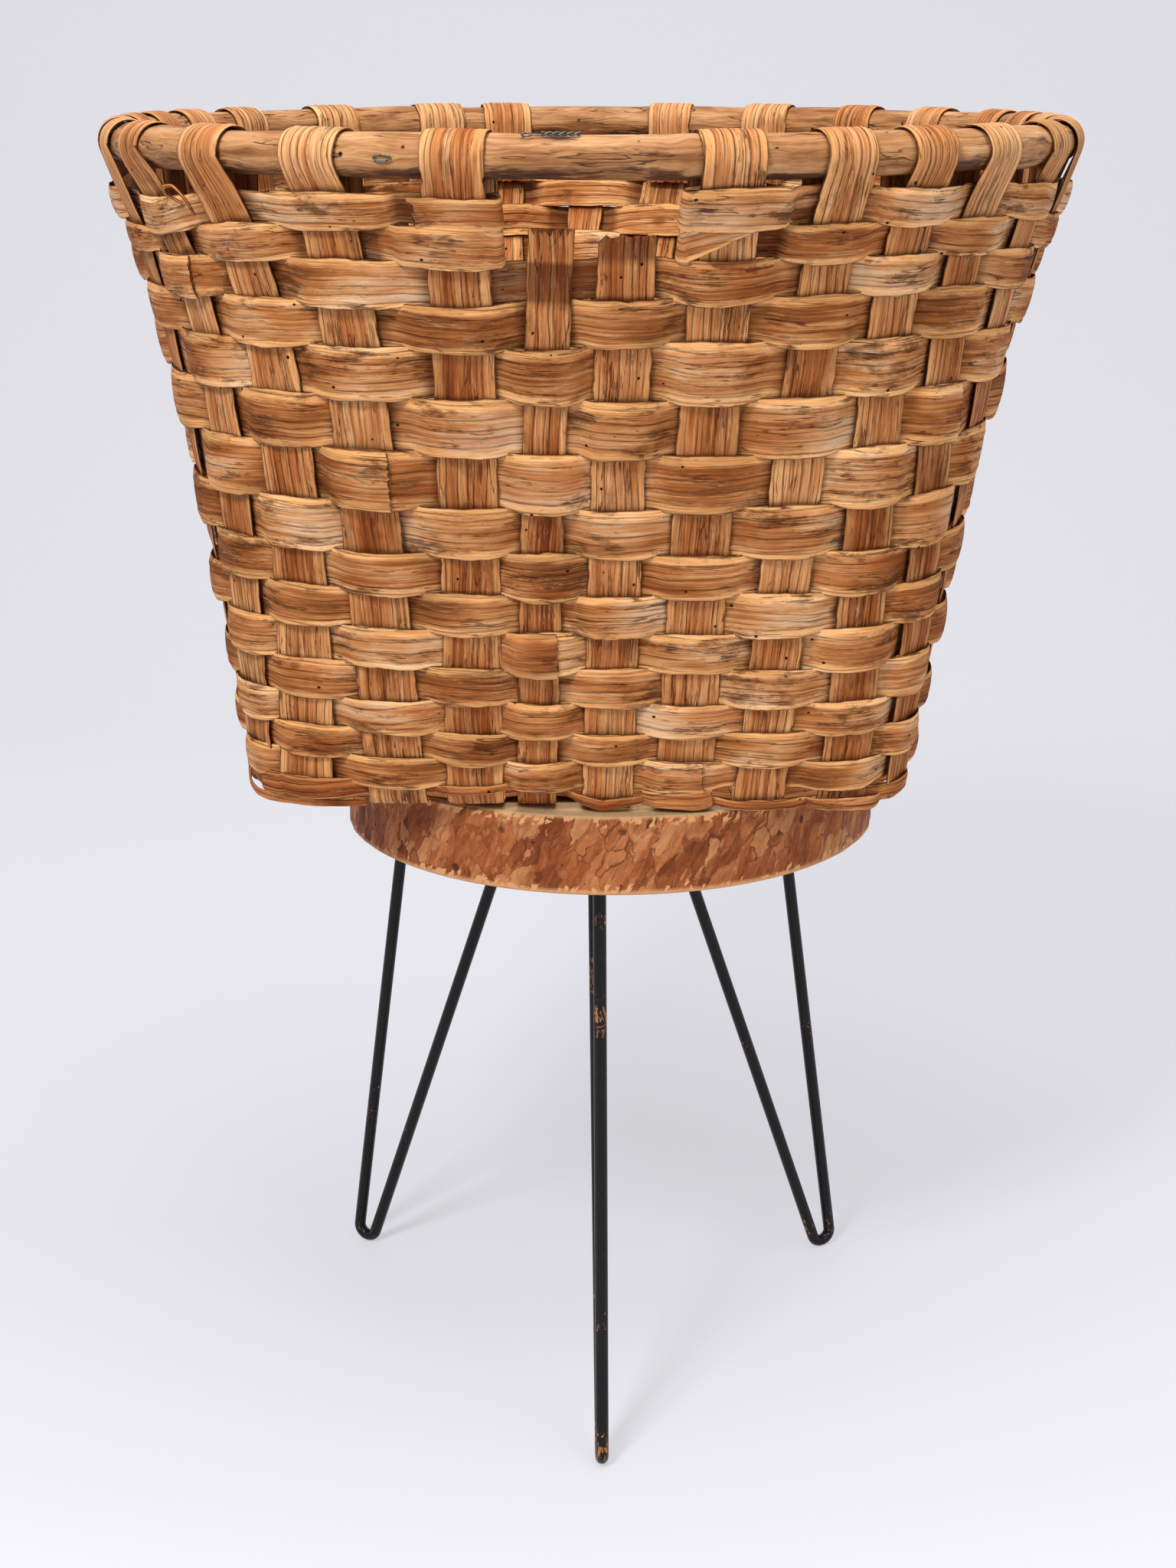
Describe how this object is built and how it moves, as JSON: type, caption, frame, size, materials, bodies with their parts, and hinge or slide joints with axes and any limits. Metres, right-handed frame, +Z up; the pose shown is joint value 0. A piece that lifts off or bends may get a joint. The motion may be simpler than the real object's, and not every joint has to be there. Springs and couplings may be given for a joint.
{
  "type": "woven basket on a stand",
  "caption": "Round-rimmed, square-based basket of woven wood splints, standing on a round wood slab with hairpin legs of steel rod.",
  "frame": {"origin": "on the floor, under the middle of the basket's rim", "axes": "+Z up, the pictured front with the broken rim splints faces -Y, +X to the right seen from the front"},
  "size_m": [0.6534, 0.6463, 0.8965],
  "materials": {
    "weaver_splint": "split wood, satin, with long ridges and dark streaks",
    "stake_splint": "split wood, satin, browned by age",
    "pole_wood": "peeled round pole, brown, with knots and fine cracks",
    "slab_wood": "slice of a trunk with a smooth top and a red-brown rough edge",
    "leg_paint": "gloss black over steel rod, scratched through to copper colour",
    "screw_steel": "dark satin"
  },
  "bodies": {
    "stand": {"leg_front": "leg_paint", "leg_left": "leg_paint", "leg_plate_front": "leg_paint", "leg_plate_left": "leg_paint", "leg_plate_right": "leg_paint", "leg_right": "leg_paint", "leg_screw_front_inner": "screw_steel", "leg_screw_front_outer": "screw_steel", "leg_screw_left_inner": "screw_steel", "leg_screw_left_outer": "screw_steel", "leg_screw_right_inner": "screw_steel", "leg_screw_right_outer": "screw_steel", "slab": "slab_wood"},
    "basket": {"front_back_stake_1": "stake_splint", "front_back_stake_2": "stake_splint", "front_back_stake_3": "stake_splint", "front_back_stake_4": "stake_splint", "front_back_stake_5": "stake_splint", "front_back_stake_6": "stake_splint", "front_back_stake_7": "stake_splint", "front_back_stake_8": "stake_splint", "rim_pole_back": "pole_wood", "rim_pole_front": "pole_wood", "side_stake_1": "stake_splint", "side_stake_2": "stake_splint", "side_stake_3": "stake_splint", "side_stake_4": "stake_splint", "side_stake_5": "stake_splint", "side_stake_6": "stake_splint", "side_stake_7": "stake_splint", "weaver_row_01": "weaver_splint", "weaver_row_02": "weaver_splint", "weaver_row_03": "weaver_splint", "weaver_row_04": "weaver_splint", "weaver_row_05": "weaver_splint", "weaver_row_06": "weaver_splint", "weaver_row_07": "weaver_splint", "weaver_row_08": "weaver_splint", "weaver_row_09": "weaver_splint", "weaver_row_10": "weaver_splint", "weaver_row_11": "weaver_splint", "weaver_row_12": "weaver_splint", "weaver_row_13": "weaver_splint", "weaver_row_14": "weaver_splint", "weaver_row_15": "weaver_splint"}
  },
  "joints": [
    {"name": "basket_lift", "type": "slide", "parent": "stand", "child": "basket", "axis": [0, 0, 1], "range_m": [0, 0.5]}
  ]
}
